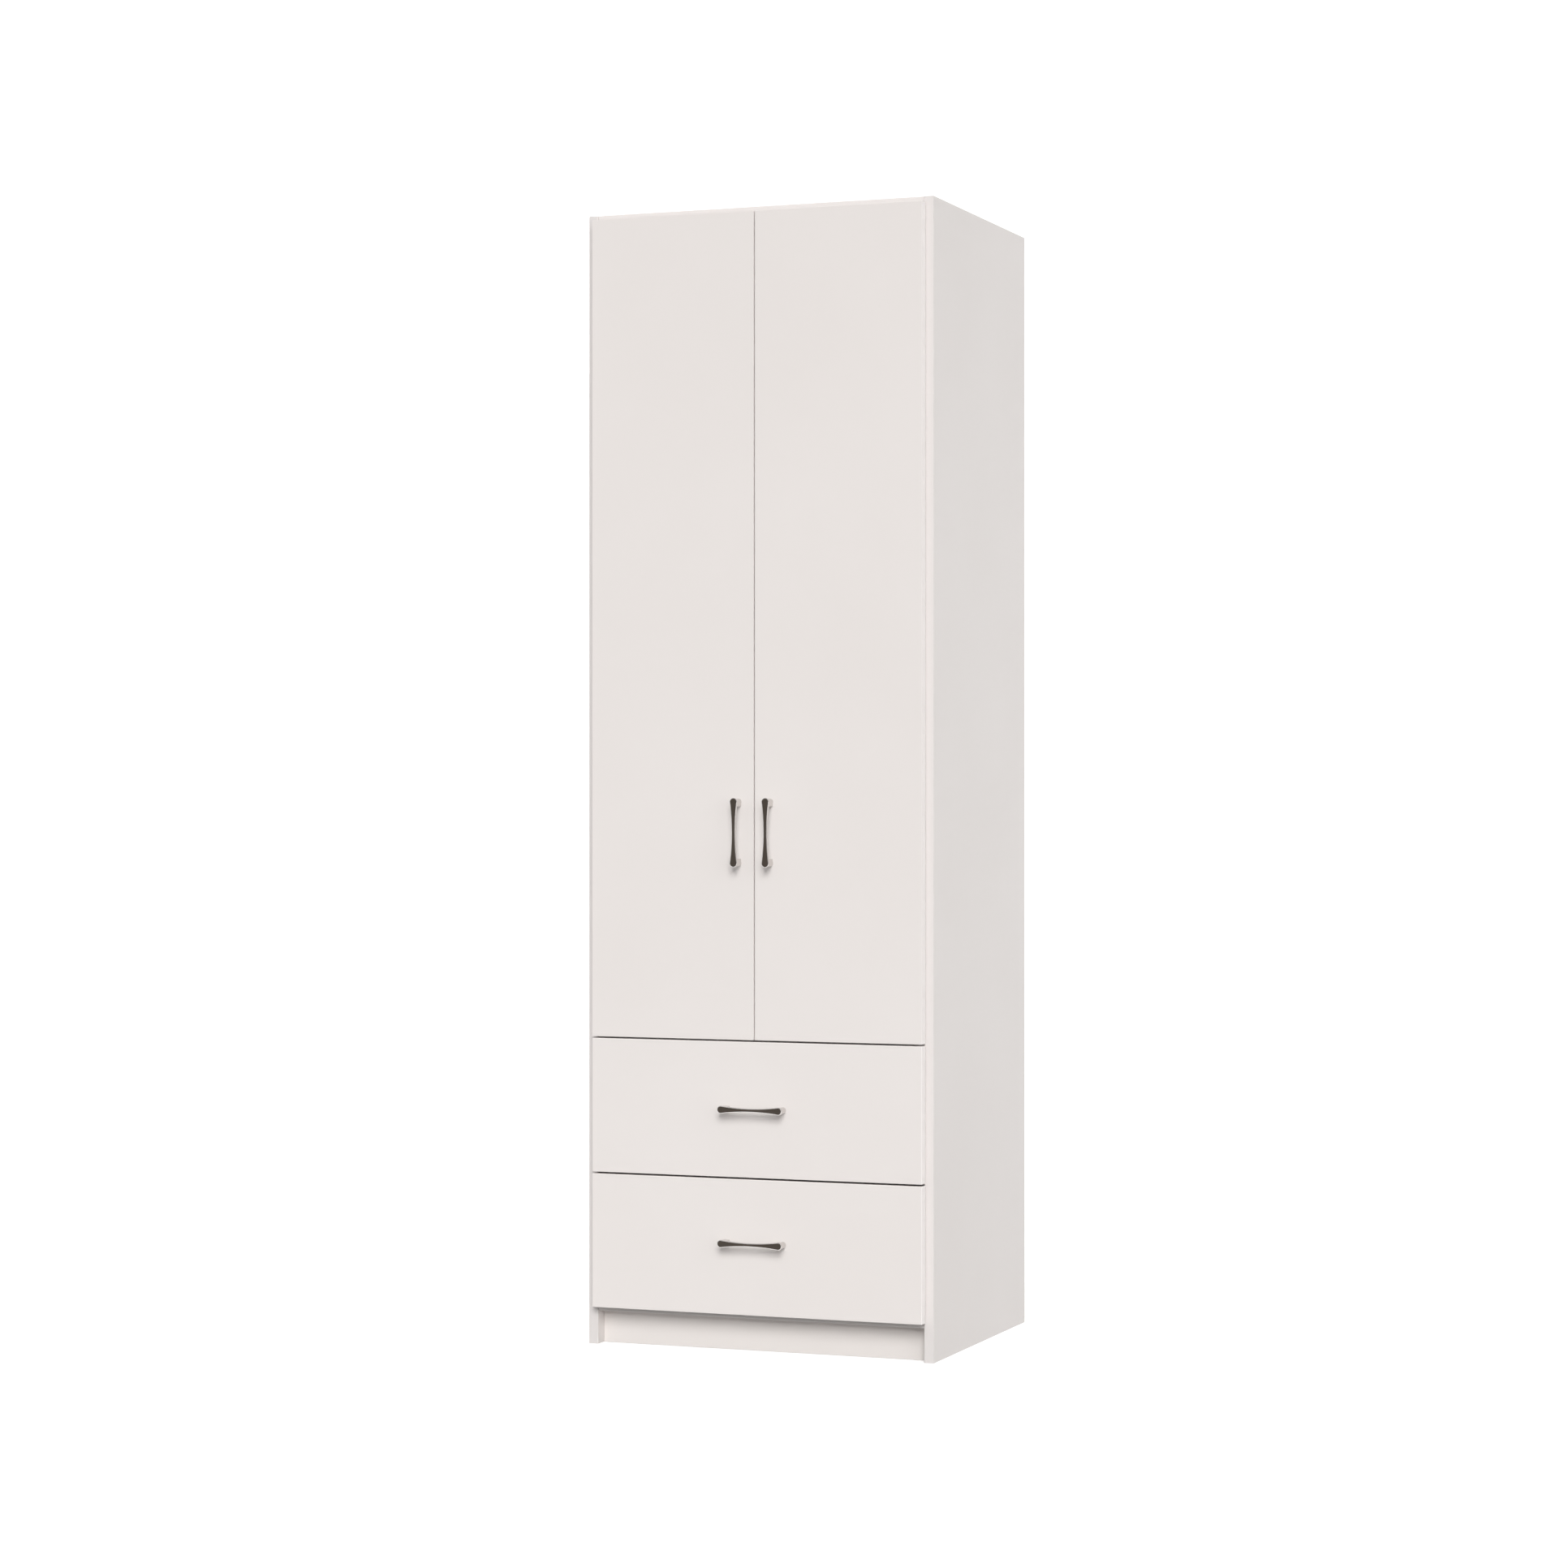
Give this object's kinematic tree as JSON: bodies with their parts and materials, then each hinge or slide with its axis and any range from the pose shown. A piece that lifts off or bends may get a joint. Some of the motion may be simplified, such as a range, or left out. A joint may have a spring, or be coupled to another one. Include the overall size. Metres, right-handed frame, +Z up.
{
  "type": "wardrobe",
  "caption": "Tall freestanding wardrobe with plain hinged doors above drawers, a hanging rail and hat shelf inside, and slim bow handles on every front.",
  "frame": {"origin": "middle of the whole part's footprint on the floor, handles and back panels included", "axes": "+Z up; the doors and drawers face -Y; +X is to the right of someone facing the doors"},
  "size_m": [0.6, 0.531, 1.861],
  "materials": {
    "melamine": "satin warm-white melamine facing with matching edge band",
    "hardboard": "white lacquered hardboard, matt",
    "handle_chrome": "polished",
    "handle_inlay": "dark bronze, satin",
    "hinge_nickel": "nickel plated",
    "pin_nickel": "nickel plated",
    "rail_chrome": "polished",
    "slide_white": "white epoxy coat"
  },
  "bodies": {
    "carcass": {"side_panel_left": "melamine", "side_panel_right": "melamine", "top_panel": "melamine", "bottom_panel": "melamine", "middle_shelf": "melamine", "plinth_front": "melamine", "plinth_rear": "melamine", "back_panel_upper": "hardboard", "back_panel_lower": "hardboard", "hat_shelf": "melamine", "shelf_pin_front_left": "pin_nickel", "shelf_pin_rear_left": "pin_nickel", "shelf_pin_front_right": "pin_nickel", "shelf_pin_rear_right": "pin_nickel", "hanging_rail": "rail_chrome", "rail_socket_left": "rail_chrome", "rail_socket_right": "rail_chrome", "hinge_arm_bottom_left": "hinge_nickel", "hinge_arm_middle_left": "hinge_nickel", "hinge_arm_top_left": "hinge_nickel", "hinge_arm_bottom_right": "hinge_nickel", "hinge_arm_middle_right": "hinge_nickel", "hinge_arm_top_right": "hinge_nickel", "slide_cabinet_upper_left": "slide_white", "slide_cabinet_upper_right": "slide_white", "slide_cabinet_lower_left": "slide_white", "slide_cabinet_lower_right": "slide_white"},
    "door_left": {"door_left": "melamine", "handle_door_left": "handle_chrome", "handle_inlay_door_left": "handle_inlay", "hinge_cup_bottom_left": "hinge_nickel", "hinge_cup_middle_left": "hinge_nickel", "hinge_cup_top_left": "hinge_nickel"},
    "door_right": {"door_right": "melamine", "handle_door_right": "handle_chrome", "handle_inlay_door_right": "handle_inlay", "hinge_cup_bottom_right": "hinge_nickel", "hinge_cup_middle_right": "hinge_nickel", "hinge_cup_top_right": "hinge_nickel"},
    "drawer_upper": {"drawer_front_upper": "melamine", "drawer_side_upper_left": "melamine", "drawer_side_upper_right": "melamine", "drawer_back_upper": "melamine", "drawer_base_upper": "hardboard", "handle_drawer_upper": "handle_chrome", "handle_inlay_drawer_upper": "handle_inlay", "slide_drawer_upper_left": "slide_white", "slide_drawer_upper_right": "slide_white"},
    "drawer_lower": {"drawer_front_lower": "melamine", "drawer_side_lower_left": "melamine", "drawer_side_lower_right": "melamine", "drawer_back_lower": "melamine", "drawer_base_lower": "hardboard", "handle_drawer_lower": "handle_chrome", "handle_inlay_drawer_lower": "handle_inlay", "slide_drawer_lower_left": "slide_white", "slide_drawer_lower_right": "slide_white"}
  },
  "joints": [
    {"name": "door_left_hinge", "type": "hinge", "parent": "carcass", "child": "door_left", "pos_m": [-0.2785, -0.235, 1.181], "axis": [0, 0, -1], "range_deg": [0, 95]},
    {"name": "door_right_hinge", "type": "hinge", "parent": "carcass", "child": "door_right", "pos_m": [0.2785, -0.235, 1.181], "axis": [0, 0, 1], "range_deg": [0, 95]},
    {"name": "drawer_upper_slide", "type": "slide", "parent": "carcass", "child": "drawer_upper", "axis": [0, -1, 0], "range_m": [0, 0.33]},
    {"name": "drawer_lower_slide", "type": "slide", "parent": "carcass", "child": "drawer_lower", "axis": [0, -1, 0], "range_m": [0, 0.33]}
  ]
}
